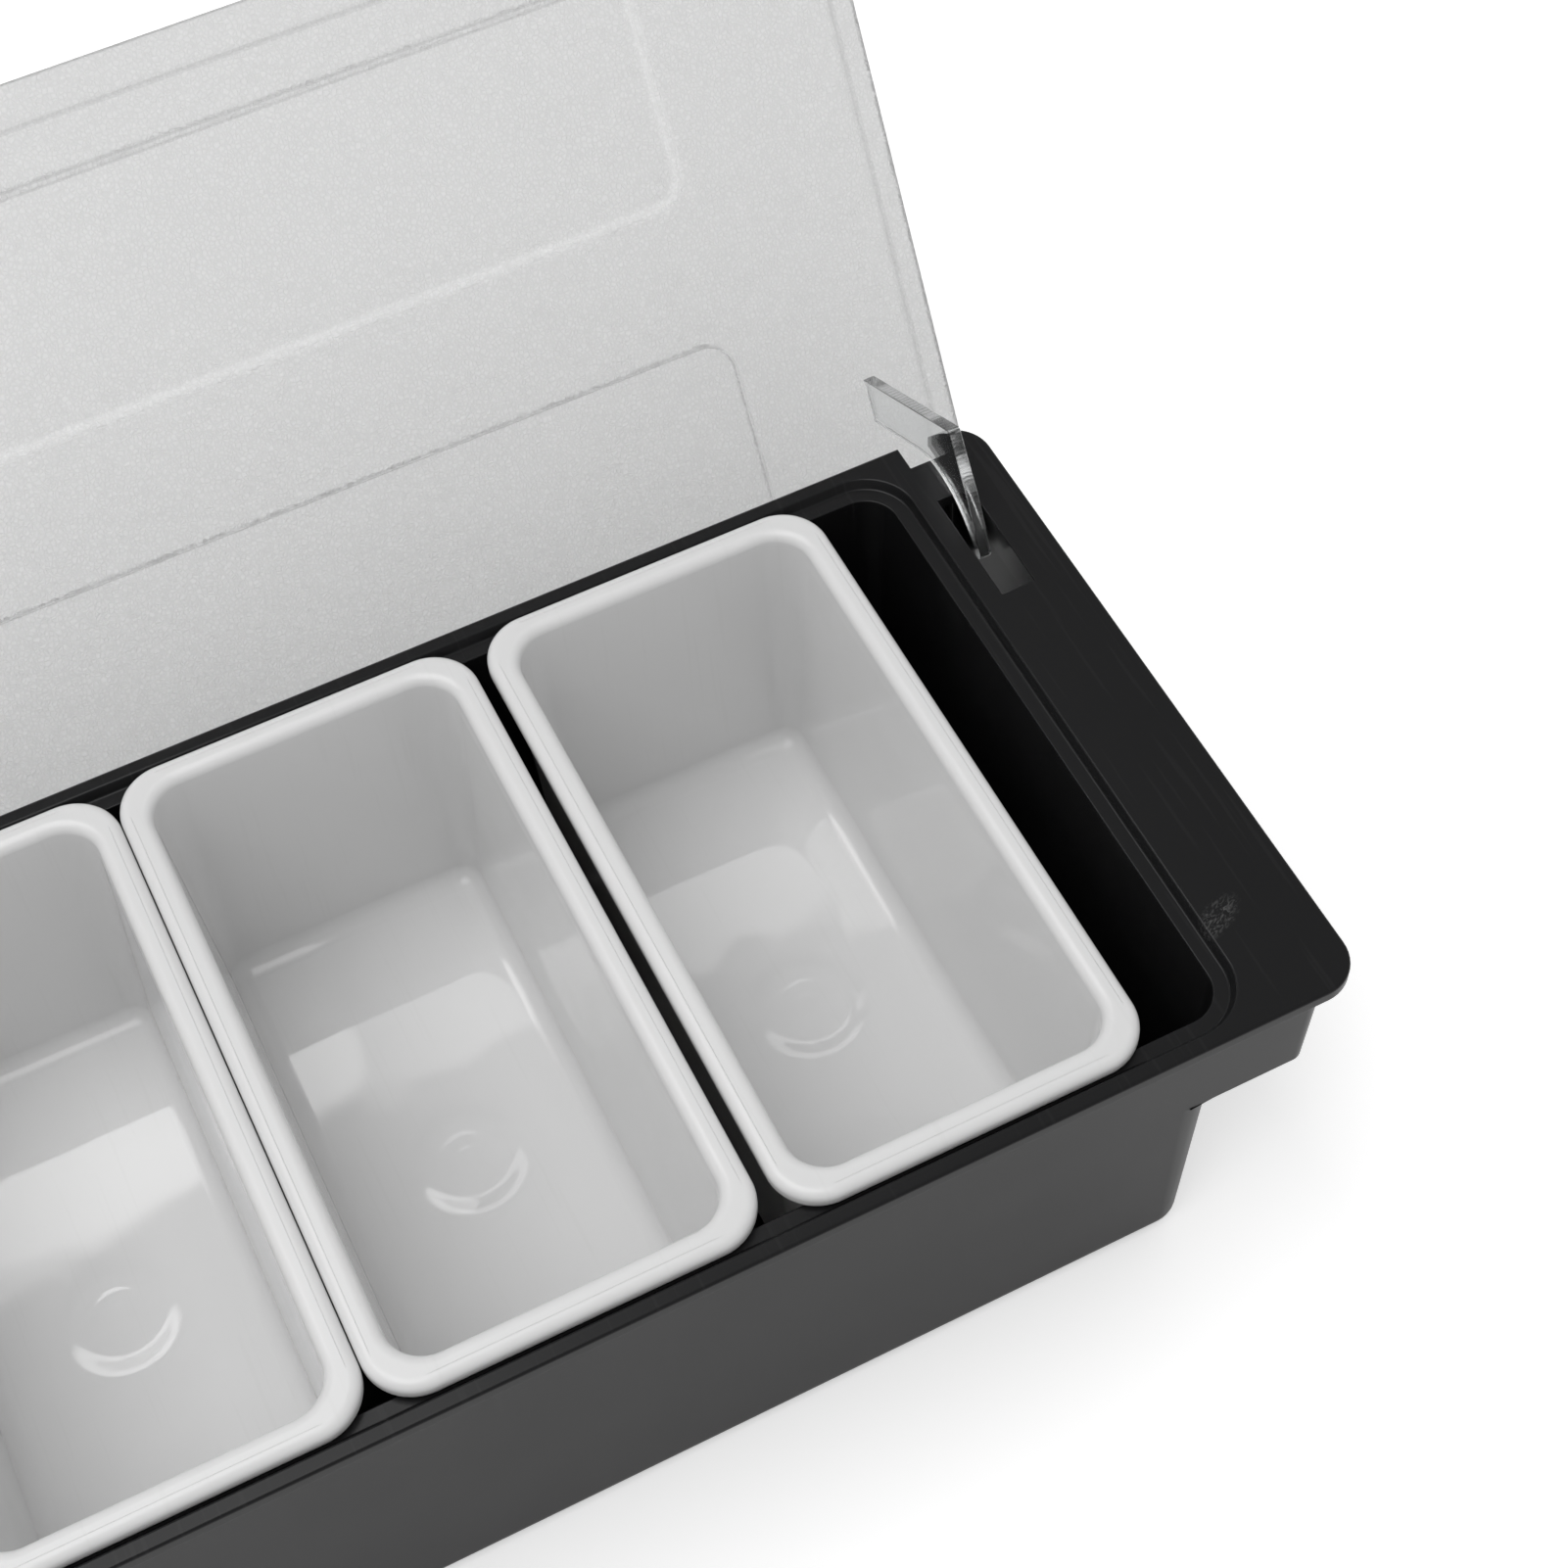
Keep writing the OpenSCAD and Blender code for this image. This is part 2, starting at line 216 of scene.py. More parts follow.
def moulded_skin_group():
    """The faint orange peel and the slow waves of a moulded face, as a height, and a patchy roughness."""
    group, start, end = node_group(
        "moulded_skin",
        {"Grain Size": ("Float", 0.6 * mm), "Wave Size": ("Float", 25 * mm), "Wave Share": ("Float", 0.5),
         "Roughness": ("Float", 0.3), "Patchiness": ("Float", 0.06)},
        {"Height": ("Float", None), "Roughness": ("Float", None)})
    place = node_in(group, "ShaderNodeTexCoord", (-1400, 300))
    per_grain = node_in(group, "ShaderNodeMath", (-1200, 100), operation="DIVIDE", in_0=1.0)
    per_wave = node_in(group, "ShaderNodeMath", (-1200, -100), operation="DIVIDE", in_0=1.0)
    grain = node_in(group, "ShaderNodeTexNoise", (-900, 200))
    wave = node_in(group, "ShaderNodeTexNoise", (-900, -100))
    wave.inputs["Detail"].default_value = 1.0
    blend = node_in(group, "ShaderNodeMix", (-600, 100))
    centred = node_in(group, "ShaderNodeMath", (-600, -200), operation="SUBTRACT", in_1=0.5)
    patch = node_in(group, "ShaderNodeMath", (-400, -200), operation="MULTIPLY")
    rough = node_in(group, "ShaderNodeMath", (-200, -200), operation="ADD")
    link_all(group,
             (start.outputs["Grain Size"], per_grain.inputs[1]),
             (start.outputs["Wave Size"], per_wave.inputs[1]),
             (place.outputs["Object"], grain.inputs["Vector"]),
             (place.outputs["Object"], wave.inputs["Vector"]),
             (per_grain.outputs[0], grain.inputs["Scale"]),
             (per_wave.outputs[0], wave.inputs["Scale"]),
             (start.outputs["Wave Share"], blend.inputs[0]),
             (grain.outputs[0], blend.inputs[2]),
             (wave.outputs[0], blend.inputs[3]),
             (blend.outputs[0], end.inputs["Height"]),
             (wave.outputs[0], centred.inputs[0]),
             (centred.outputs[0], patch.inputs[0]),
             (start.outputs["Patchiness"], patch.inputs[1]),
             (patch.outputs[0], rough.inputs[0]),
             (start.outputs["Roughness"], rough.inputs[1]),
             (rough.outputs[0], end.inputs["Roughness"]))
    return group


def hair_scratches_group():
    """Sparse hairline scratches in three directions, as a mask from 0 to 1."""
    group, start, end = node_group(
        "hair_scratches",
        {"Spacing": ("Float", 12 * mm), "Amount": ("Float", 0.5)},
        {"Mask": ("Float", None)})
    place = node_in(group, "ShaderNodeTexCoord", (-1400, 300))
    per_spacing = node_in(group, "ShaderNodeMath", (-1200, 0), operation="DIVIDE", in_0=1.0)
    group.links.new(start.outputs["Spacing"], per_spacing.inputs[1])
    total = None
    for number, angle in enumerate((18, 74, 131)):
        turned = node_in(group, "ShaderNodeMapping", (-1000, -300 * number))
        turned.inputs["Rotation"].default_value = (0, 0, math.radians(angle))
        turned.inputs["Scale"].default_value = (24, 0.8, 1)
        turned.inputs["Location"].default_value = (3.7 * number, 1.3 * number, 0)
        streak = node_in(group, "ShaderNodeTexNoise", (-800, -300 * number))
        streak.inputs["Detail"].default_value = 0.0
        sharp = node_in(group, "ShaderNodeMapRange", (-600, -300 * number), in_1=0.735, in_2=0.80)
        link_all(group,
                 (place.outputs["Object"], turned.inputs["Vector"]),
                 (turned.outputs[0], streak.inputs["Vector"]),
                 (per_spacing.outputs[0], streak.inputs["Scale"]),
                 (streak.outputs[0], sharp.inputs[0]))
        if total is None:
            total = sharp.outputs[0]
        else:
            joined = node_in(group, "ShaderNodeMath", (-400, -300 * number), operation="MAXIMUM")
            link_all(group, (total, joined.inputs[0]), (sharp.outputs[0], joined.inputs[1]))
            total = joined.outputs[0]
    scaled = node_in(group, "ShaderNodeMath", (-100, 0), operation="MULTIPLY")
    link_all(group, (total, scaled.inputs[0]), (start.outputs["Amount"], scaled.inputs[1]),
             (scaled.outputs[0], end.inputs["Mask"]))
    return group


moulded_skin = moulded_skin_group()
hair_scratches = hair_scratches_group()


def new_material(name, **inputs):
    """A material with its Principled shader's plain inputs set, given as in Base_Color=..."""
    material = bpy.data.materials.new(name)
    material.use_nodes = True
    shader = material.node_tree.nodes["Principled BSDF"]
    for label, value in inputs.items():
        shader.inputs[label.replace("_", " ")].default_value = value
    return material, material.node_tree, shader


def add_group(tree, group, place, **values):
    """Places a shader group in a material, with its inputs set by name."""
    made = node_in(tree, "ShaderNodeGroup", place, node_tree=group)
    for label, value in values.items():
        made.inputs[label.replace("_", " ")].default_value = value
    return made


def add_bump(tree, shader, height, strength, distance):
    """Feeds a height through a Bump node into the shader's normal."""
    bump = node_in(tree, "ShaderNodeBump", (-250, -400))
    bump.inputs["Strength"].default_value = strength
    bump.inputs["Distance"].default_value = distance
    link_all(tree, (height, bump.inputs["Height"]), (bump.outputs[0], shader.inputs["Normal"]))


def black_satin():
    """Black plastic with a satin skin, hairline scratches and one rubbed patch on the right wing."""
    material, tree, shader = new_material("black_satin_plastic", IOR=1.33)
    skin = add_group(tree, moulded_skin, (-800, -200), Roughness=0.24, Patchiness=0.08, Wave_Share=0.7)
    scratches = add_group(tree, hair_scratches, (-800, 100), Spacing=26 * mm, Amount=0.05)
    patch_centre = Vector((236.5, -52.0, 91.0)) * mm
    patch_half = Vector((6.5, 3.2, 3.0)) * mm
    place = node_in(tree, "ShaderNodeTexCoord", (-1600, 500))
    patch = node_in(tree, "ShaderNodeMapping", (-1400, 500), vector_type="TEXTURE")
    patch.inputs["Location"].default_value = patch_centre
    patch.inputs["Rotation"].default_value = (0, 0, math.radians(28))
    patch.inputs["Scale"].default_value = patch_half
    reach = node_in(tree, "ShaderNodeVectorMath", (-1200, 500), operation="LENGTH")
    inside = node_in(tree, "ShaderNodeMapRange", (-1000, 500), in_1=1.0, in_2=0.35)
    smear = node_in(tree, "ShaderNodeTexNoise", (-1200, 800))
    smear.inputs["Scale"].default_value = 5.0
    smear.inputs["Distortion"].default_value = 1.4
    torn = node_in(tree, "ShaderNodeMapRange", (-1000, 800), in_1=0.47, in_2=0.66)
    rubbed = node_in(tree, "ShaderNodeMath", (-800, 600), operation="MULTIPLY")
    worn = node_in(tree, "ShaderNodeMath", (-600, 400), operation="MAXIMUM")
    colour = node_in(tree, "ShaderNodeMix", (-300, 300), data_type="RGBA")
    colour.inputs[6].default_value = (0.0085, 0.0085, 0.0090, 1)
    colour.inputs[7].default_value = (0.075, 0.075, 0.075, 1)
    link_all(tree,
             (place.outputs["Object"], patch.inputs["Vector"]),
             (patch.outputs[0], reach.inputs[0]),
             (reach.outputs["Value"], inside.inputs[0]),
             (patch.outputs[0], smear.inputs["Vector"]),
             (smear.outputs[0], torn.inputs[0]),
             (inside.outputs[0], rubbed.inputs[0]),
             (torn.outputs[0], rubbed.inputs[1]),
             (rubbed.outputs[0], worn.inputs[0]),
             (scratches.outputs["Mask"], worn.inputs[1]),
             (worn.outputs[0], colour.inputs[0]),
             (colour.outputs[2], shader.inputs["Base Color"]),
             (skin.outputs["Roughness"], shader.inputs["Roughness"]))
    add_bump(tree, shader, skin.outputs["Height"], 0.2, 0.05 * mm)
    return material


def plain_copy(name, node, cuts=()):
    """A CAD node's mesh as a new piece, with its triangles merged into flat faces.

    A face can't have a hole in it, so faces with holes are first cut along planes (normal, distance)."""
    mesh = frame["nodes"][node].data.copy()
    mesh.name = name
    mesh.materials.clear()
    shape = bmesh.new()
    shape.from_mesh(mesh)
    bmesh.ops.remove_doubles(shape, verts=shape.verts, dist=0.002 * mm)
    bmesh.ops.dissolve_degenerate(shape, dist=0.01 * mm, edges=shape.edges)
    for normal, distance in cuts:
        everything = shape.verts[:] + shape.edges[:] + shape.faces[:]
        cut = bmesh.ops.bisect_plane(shape, geom=everything, dist=1e-7,
                                     plane_co=Vector(normal) * distance, plane_no=normal)
        for part in cut["geom_cut"]:
            if isinstance(part, bmesh.types.BMEdge):
                part.seam = True
    bmesh.ops.dissolve_limit(shape, angle_limit=math.radians(0.3), verts=shape.verts, edges=shape.edges,
                             delimit={"SEAM"})
    shape.to_mesh(mesh)
    shape.free()
    piece = bpy.data.objects.new(name, mesh)
    bpy.context.scene.collection.objects.link(piece)
    return piece


def keep_flats_flat(piece):
    """Shades the piece smoothly, with normals that follow its largest faces."""
    for face in piece.data.polygons:
        face.use_smooth = True
    weighted = piece.modifiers.new("keep_flats_flat", "WEIGHTED_NORMAL")
    weighted.mode = "FACE_AREA"
    weighted.weight = 100
    finished = bpy.data.meshes.new_from_object(piece.evaluated_get(bpy.context.evaluated_depsgraph_get()))
    piece.modifiers.clear()
    piece.data = finished
    return piece


def round_edges(piece, width, steps, wide=None, wide_width=0.0, sharp=math.radians(30)):
    """Rounds the piece's sharp edges and shades it smoothly.

    Edges for which wide(middle) is true are rounded by wide_width instead of width."""
    largest = max(width, wide_width)
    shape = bmesh.new()
    shape.from_mesh(piece.data)
    weight = shape.edges.layers.float.new("bevel_weight_edge")
    for edge in shape.edges:
        if edge.calc_face_angle(0.0) > sharp:
            middle = (edge.verts[0].co + edge.verts[1].co) / 2
            edge[weight] = (wide_width if wide and wide(middle) else width) / largest
    shape.to_mesh(piece.data)
    shape.free()
    bevel = piece.modifiers.new("round_edges", "BEVEL")
    bevel.width = largest
    bevel.segments = steps
    bevel.limit_method = "WEIGHT"
    bevel.use_clamp_overlap = False
    finished = bpy.data.meshes.new_from_object(piece.evaluated_get(bpy.context.evaluated_depsgraph_get()))
    piece.modifiers.clear()
    piece.data = finished
    return keep_flats_flat(piece)


def finish_piece(piece, material, body, node):
    """Gives a piece its material, puts it under its body and hides the CAD node that it replaces."""
    if not piece.data.materials:
        piece.data.materials.append(material)
    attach(piece, body)
    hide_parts(node)


def on_deck_rim(place):
    """True on the outer edge of the deck's top."""
    at_top = place.z > tub_high.z - 0.01 * mm
    past_side = abs(place.x) > tub_high.x - 0.1 * mm or abs(place.y) > tub_high.y - 0.1 * mm
    past_corner = abs(place.x) > tub_high.x - deck_corner and abs(place.y) > tub_high.y - deck_corner
    return at_top and (past_side or past_corner)


tub_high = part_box("tray")[1]
tub_edge_radius = 0.3 * mm
deck_rim_radius = 0.75 * mm
deck_corner = 7.9 * mm
slot_x = 241.25 * mm
through_slots = [((0, 1, 0), 0.0), ((1, 0, 0), -slot_x), ((1, 0, 0), slot_x)]
tub_copy = plain_copy("tub_moulding", "tray", through_slots)
tub = round_edges(tub_copy, tub_edge_radius, 4, on_deck_rim, deck_rim_radius)
finish_piece(tub, black_satin(), "tub", "tray")


# ---- The inserts ----------------------------------------------------------------------------------
# Six glossy white mouldings, each a few sections swept round a rectangle: a flat rim with rounded edges,
# a drafted wall, a floor fillet, and the round gate mark. The floor has sunk towards its middle line.

insert_count = 6
insert_draft = math.radians(3.0)
insert_sizes = {
    "Rim Corner": 10.0, "Body Corner": 10.0, "Rim Overhang": 3.2, "Rim Height": 4.3, "Rim Edge": 2.0,
    "Rim Underside Edge": 1.2, "Rim Roll": 2.2, "Wall": 2.5, "Floor": 2.5, "Fillet": 4.0,
    "Gate Radius": 13.5, "Gate Depth": 0.2, "Gate Slope": 6.0, "Ripple": 0.008}


class Amount:
    """A number in a node tree. Sums and products of Amounts become Math nodes."""

    def __init__(self, tree, socket):
        self.tree = tree
        self.socket = socket

    def combine(self, operation, *others):
        made = self.tree.nodes.new("ShaderNodeMath")
        made.operation = operation
        for place, value in enumerate((self,) + others):
            if isinstance(value, Amount):
                self.tree.links.new(value.socket, made.inputs[place])
            else:
                made.inputs[place].default_value = value
        return Amount(self.tree, made.outputs[0])

    def __add__(self, other):
        return self.combine("ADD", other)

    def __sub__(self, other):
        return self.combine("SUBTRACT", other)

    def __mul__(self, other):
        return self.combine("MULTIPLY", other)

    def __truediv__(self, other):
        return self.combine("DIVIDE", other)


def put(tree, value, socket):
    """Feeds an Amount or a plain number into a socket."""
    if isinstance(value, Amount):
        tree.links.new(value.socket, socket)
    else:
        socket.default_value = value


def point(tree, x, y, z=0.0):
    """A vector made of Amounts or numbers."""
    made = tree.nodes.new("ShaderNodeCombineXYZ")
    for socket, value in zip(made.inputs, (x, y, z)):
        put(tree, value, socket)
    return made.outputs[0]


def by_index(tree, kind, values, index):
    """The value in a list that belongs to each point's index."""
    switch = tree.nodes.new("GeometryNodeIndexSwitch")
    switch.data_type = kind
    while len(switch.index_switch_items) < len(values):
        switch.index_switch_items.new()
    tree.links.new(index, switch.inputs["Index"])
    for place, value in enumerate(values):
        if isinstance(value, (Amount, float, int)):
            put(tree, value, switch.inputs[place + 1])
        else:
            tree.links.new(value, switch.inputs[place + 1])
    return switch.outputs[0]


def section_curve(tree, corners, rounding, steps):
    """An open section through the corners, each rounded with its own radius. A sweep turns Y downwards."""
    line = node_in(tree, "GeometryNodeMeshLine", (0, 0), in_0=len(corners))
    index = tree.nodes.new("GeometryNodeInputIndex")
    bend = tree.nodes.new("GeometryNodeSetPosition")
    curve = tree.nodes.new("GeometryNodeMeshToCurve")
    fillet = node_in(tree, "GeometryNodeFilletCurve", (0, 0))
    radius_socket = next(socket for socket in fillet.inputs if socket.name == "Radius")
    if hasattr(fillet, "mode"):
        fillet.mode = "POLY"
    link_all(tree,
             (line.outputs[0], bend.inputs["Geometry"]),
             (by_index(tree, "VECTOR", [point(tree, *corner) for corner in corners], index.outputs[0]),
              bend.inputs["Position"]),
             (bend.outputs[0], curve.inputs[0]),
             (curve.outputs[0], fillet.inputs["Curve"]),
             (by_index(tree, "FLOAT", rounding, index.outputs[0]), radius_socket))
    fillet.inputs["Count"].default_value = steps
    return fillet.outputs[0]


def rounded_rectangle(tree, width, length, radius, steps):
    """A closed level outline with round corners, centred on the origin."""
    outline = tree.nodes.new("GeometryNodeCurvePrimitiveQuadrilateral")
    put(tree, width, outline.inputs["Width"])
    put(tree, length, outline.inputs["Height"])
    fillet = tree.nodes.new("GeometryNodeFilletCurve")
    if hasattr(fillet, "mode"):
        fillet.mode = "POLY"
    fillet.inputs["Count"].default_value = steps
    tree.links.new(outline.outputs[0], fillet.inputs["Curve"])
    put(tree, radius, fillet.inputs["Radius"])
    return fillet.outputs[0]


def sweep(tree, path, section):
    """Carries a section along a path."""
    made = tree.nodes.new("GeometryNodeCurveToMesh")
    link_all(tree, (path, made.inputs["Curve"]), (section, made.inputs["Profile Curve"]))
    return made.outputs[0]


def raised(tree, geometry, z):
    """The geometry at height z."""
    made = tree.nodes.new("GeometryNodeTransform")
    link_all(tree,
             (geometry, made.inputs["Geometry"]),
             (point(tree, 0.0, 0.0, z), made.inputs["Translation"]))
    return made.outputs[0]


def joined(tree, *parts):
    """All the parts as one geometry."""
    made = tree.nodes.new("GeometryNodeJoinGeometry")
    for part in reversed(parts):
        tree.links.new(part, made.inputs[0])
    return made.outputs[0]


def filled(tree, *outlines):
    """Flat faces inside the first outline and outside the others."""
    made = tree.nodes.new("GeometryNodeFillCurve")
    tree.links.new(joined(tree, *outlines), made.inputs["Curve"])
    return made.outputs[0]


def insert_tree():
    """The geometry tree of one insert, standing on the origin."""
    tree = bpy.data.node_groups.new("swept_insert", "GeometryNodeTree")
    names = ["Width", "Length", "Height"] + list(insert_sizes)
    for name in names:
        tree.interface.new_socket(name, in_out="INPUT", socket_type="NodeSocketFloat")
    tree.interface.new_socket("Draft", in_out="INPUT", socket_type="NodeSocketFloat")
    tree.interface.new_socket("Plastic", in_out="INPUT", socket_type="NodeSocketMaterial")
    tree.interface.new_socket("Insert", in_out="OUTPUT", socket_type="NodeSocketGeometry")
    start = tree.nodes.new("NodeGroupInput")
    end = tree.nodes.new("NodeGroupOutput")
    size = {name: Amount(tree, start.outputs[name]) for name in names + ["Draft"]}
    lean = size["Draft"].combine("TANGENT")
    hem = 0.3 * mm
    path_radius = 10.0 * mm
    path_steps = 16
    section_steps = 10
    corner = size["Rim Corner"]
    body = size["Body Corner"]
    rim_bottom = size["Height"] - size["Rim Height"]
    rim_flat_end = corner - size["Rim Edge"] - 0.1 * mm
    rim_under_end = corner - size["Rim Underside Edge"] - 0.1 * mm
    mouth = body - size["Wall"] + size["Rim Height"] * lean
    rim_flat_start = mouth + size["Rim Roll"]
    base_outside = body - rim_bottom * lean
    base_inside = mouth - (size["Height"] - size["Floor"]) * lean

    def core_outline(radius, corner_radius, overhang):
        """An outline at a distance (radius) from the core that a corner radius and an overhang leave."""
        inset = (corner_radius + overhang) * 2.0
        width = size["Width"] - inset + radius * 2.0
        length = size["Length"] - inset + radius * 2.0
        return rounded_rectangle(tree, width, length, radius, path_steps)

    def rim_outline(radius):
        return core_outline(radius, corner, 0.0)

    def body_outline(radius):
        return core_outline(radius, body, size["Rim Overhang"])

    def swept(outline, corners, rounding):
        """Sweeps the section through the corners round the outline at the path's radius."""
        shifted = [(x - path_radius, z * -1.0) for x, z in corners]
        path = outline(Amount(tree, path_value.outputs[0]))
        return sweep(tree, path, section_curve(tree, shifted, rounding, section_steps))

    path_value = node_in(tree, "ShaderNodeValue", (0, 0))
    path_value.outputs[0].default_value = path_radius
    hem_amount = Amount(tree, path_value.outputs[0]) * (hem / path_radius)
    inner_wall = swept(body_outline, [(hem_amount, size["Floor"]), (base_inside, size["Floor"]),
                                      (mouth, size["Height"]), (rim_flat_start, size["Height"])],
                       [0.0, size["Fillet"], size["Rim Roll"], 0.0])
    outer_wall = swept(body_outline, [(hem_amount, 0.0), (base_outside, 0.0), (body, rim_bottom)],
                       [0.0, size["Fillet"] + size["Floor"], 0.0])
    rim_edge = swept(rim_outline, [(rim_flat_end, size["Height"]), (corner, size["Height"]),
                                   (corner, rim_bottom), (rim_under_end, rim_bottom)],
                     [0.0, size["Rim Edge"], size["Rim Underside Edge"], 0.0])
    top_faces = filled(tree, rim_outline(rim_flat_end), body_outline(rim_flat_start))
    rim_top = raised(tree, top_faces, size["Height"])
    underside_faces = filled(tree, rim_outline(rim_under_end), body_outline(body))
    rim_underside = raised(tree, underside_faces, rim_bottom)

    gate = size["Gate Radius"]
    rings = 28
    circle_steps = 72
    ripple_spacing = 3.2 * mm
    eye = 0.4 * mm
    index = tree.nodes.new("GeometryNodeInputIndex")
    step = (gate - eye) / float(rings - 1)
    inward = Amount(tree, index.outputs[0]) * step
    radius_here = gate - inward
    down_slope = (inward / size["Gate Slope"]).combine("MINIMUM", 1.0)
    dish = (down_slope * math.pi).combine("COSINE") * 0.5 - 0.5
    ripple = (radius_here * (2 * math.pi / ripple_spacing)).combine("COSINE") * size["Ripple"]
    gate_height = dish * size["Gate Depth"] - ripple * down_slope
    line = node_in(tree, "GeometryNodeMeshLine", (0, 0), in_0=rings)
    bend = tree.nodes.new("GeometryNodeSetPosition")
    gate_curve = tree.nodes.new("GeometryNodeMeshToCurve")
    circle = tree.nodes.new("GeometryNodeCurvePrimitiveCircle")
    circle.inputs["Resolution"].default_value = circle_steps
    put(tree, gate, circle.inputs["Radius"])
    link_all(tree,
             (line.outputs[0], bend.inputs["Geometry"]),
             (point(tree, inward * -1.0, gate_height), bend.inputs["Position"]),
             (bend.outputs[0], gate_curve.inputs[0]))
    gate_mark = sweep(tree, circle.outputs[0], gate_curve.outputs[0])

    floor_top = raised(tree, filled(tree, body_outline(hem_amount), circle.outputs[0]), size["Floor"])
    floor_under = filled(tree, body_outline(hem_amount))
    inside = tree.nodes.new("GeometryNodeStoreNamedAttribute")
    inside.inputs["Name"].default_value = "inside"
    inside.inputs["Value"].default_value = 1.0
    tree.links.new(joined(tree, inner_wall, floor_top, raised(tree, gate_mark, size["Floor"])),
                   inside.inputs["Geometry"])
    whole = joined(tree, inside.outputs[0], outer_wall, rim_edge, rim_top, rim_underside, floor_under)
    merge = tree.nodes.new("GeometryNodeMergeByDistance")
    merge.inputs["Distance"].default_value = 0.01 * mm
    real = tree.nodes.new("GeometryNodeRealizeInstances")
    paint = tree.nodes.new("GeometryNodeSetMaterial")
    link_all(tree,
             (whole, merge.inputs["Geometry"]),
             (merge.outputs[0], real.inputs[0]),
             (real.outputs[0], paint.inputs["Geometry"]),
             (start.outputs["Plastic"], paint.inputs["Material"]),
             (paint.outputs[0], end.inputs[0]))
    return tree


def white_gloss():
    """Glossy white plastic that lets a little light through. Its rim is softer, and its faces wave
    slightly, so that lamps bend in them."""
    material, tree, shader = new_material("white_gloss_plastic", IOR=1.5, Subsurface_Weight=0.6,
                                          Subsurface_Radius=(1, 1, 1), Subsurface_Scale=2.5 * mm)
    rim_level = 0.0885
    rim_roughness = 0.22
    skin = add_group(tree, moulded_skin, (-800, -200), Roughness=0.035, Patchiness=0.015, Wave_Size=26 * mm,
                     Wave_Share=0.99)
    scratches = add_group(tree, hair_scratches, (-800, 300), Spacing=30 * mm, Amount=0.12)
    colour = node_in(tree, "ShaderNodeMix", (-300, 300), data_type="RGBA")
    colour.inputs[6].default_value = (0.725, 0.725, 0.725, 1)
    colour.inputs[7].default_value = (0.64, 0.64, 0.63, 1)
    place = node_in(tree, "ShaderNodeTexCoord", (-1400, -400))
    split = node_in(tree, "ShaderNodeSeparateXYZ", (-1200, -400))
    rim = node_in(tree, "ShaderNodeMapRange", (-1000, -400),
                  in_1=rim_level - 2 * mm, in_2=rim_level, in_4=rim_roughness)
    rough = node_in(tree, "ShaderNodeMath", (-500, -100), operation="ADD")
    link_all(tree,
             (scratches.outputs["Mask"], colour.inputs[0]),
             (colour.outputs[2], shader.inputs["Base Color"]),
             (place.outputs["Object"], split.inputs[0]),
             (split.outputs["Z"], rim.inputs[0]),
             (skin.outputs["Roughness"], rough.inputs[0]),
             (rim.outputs[0], rough.inputs[1]),
             (rough.outputs[0], shader.inputs["Roughness"]))
    add_bump(tree, shader, skin.outputs["Height"], 0.6, 0.15 * mm)
    return material


def floor_lift(along):
    """How high the sunk floor lies over its lowest part, at a distance (along) from its middle line."""
    bend = 1.83
    bend_end = 40.0 * mm
    flat_from = 55.7 * mm
    if along < bend_end:
        return bend / 2 * along ** 2
    rest = min((along - bend_end) / (flat_from - bend_end), 1.0)
    return bend / 2 * bend_end ** 2 + bend * bend_end * (flat_from - bend_end) * (rest - rest ** 2 / 2)


def close_shell(mesh):
    """Closes the small gaps that a sweep leaves, turns every face outwards and sinks the floor."""
    floor_level = insert_sizes["Floor"] * mm
    fade_height = 25.0 * mm
    strip_width = 3.0 * mm
    strips = 19
    shape = bmesh.new()
    shape.from_mesh(mesh)
    bmesh.ops.remove_doubles(shape, verts=shape.verts, dist=0.01 * mm)
    loops = [edge for edge in shape.edges if edge.is_boundary]
    if loops:
        bmesh.ops.holes_fill(shape, edges=loops, sides=0)
    bmesh.ops.recalc_face_normals(shape, faces=shape.faces)
    inside = shape.verts.layers.float["inside"]
    inner_faces = [face for face in shape.faces if all(vert[inside] > 0.5 for vert in face.verts)]
    pieces = set(inner_faces)
    for face in inner_faces:
        pieces.update(face.verts)
        pieces.update(face.edges)
    for number in range(-strips, strips + 1):
        cut = bmesh.ops.bisect_plane(shape, geom=list(pieces), dist=0.001 * mm, plane_no=(0, 1, 0),
                                     plane_co=(0, number * strip_width, 0))
        pieces = set(cut["geom"]) | set(cut["geom_cut"])
    for vert in shape.verts:
        if vert[inside] > 0.5:
            fade = 1.0 - (vert.co.z - floor_level) / fade_height
            vert.co.z += floor_lift(abs(vert.co.y)) * min(max(fade, 0.0), 1.0)
    shape.to_mesh(mesh)
    shape.free()


insert_maker = insert_tree()
insert_plastic = white_gloss()
for number in range(1, insert_count + 1):
    low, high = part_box(f"insert_{number}")
    holder = bpy.data.objects.new(f"white_insert_{number}", bpy.data.meshes.new(f"white_insert_{number}"))
    bpy.context.scene.collection.objects.link(holder)
    maker = holder.modifiers.new("swept_insert", "NODES")
    maker.node_group = insert_maker
    sizes = {name: value * mm for name, value in insert_sizes.items()}
    sizes.update(Width=high.x - low.x, Length=high.y - low.y, Height=high.z - low.z,
                 Draft=insert_draft, Plastic=insert_plastic)
    for socket in insert_maker.interface.items_tree:
        if socket.in_out == "INPUT":
            maker[socket.identifier] = sizes[socket.name]
    swept = bpy.data.meshes.new_from_object(holder.evaluated_get(bpy.context.evaluated_depsgraph_get()))
    holder.modifiers.clear()
    swept.materials.pop(index=0)
    close_shell(swept)
    swept.transform(Matrix.Translation(((low.x + high.x) / 2, (low.y + high.y) / 2, low.z)))
    holder.data = swept
    keep_flats_flat(holder)
    finish_piece(holder, insert_plastic, f"pan_{number}", f"insert_{number}")


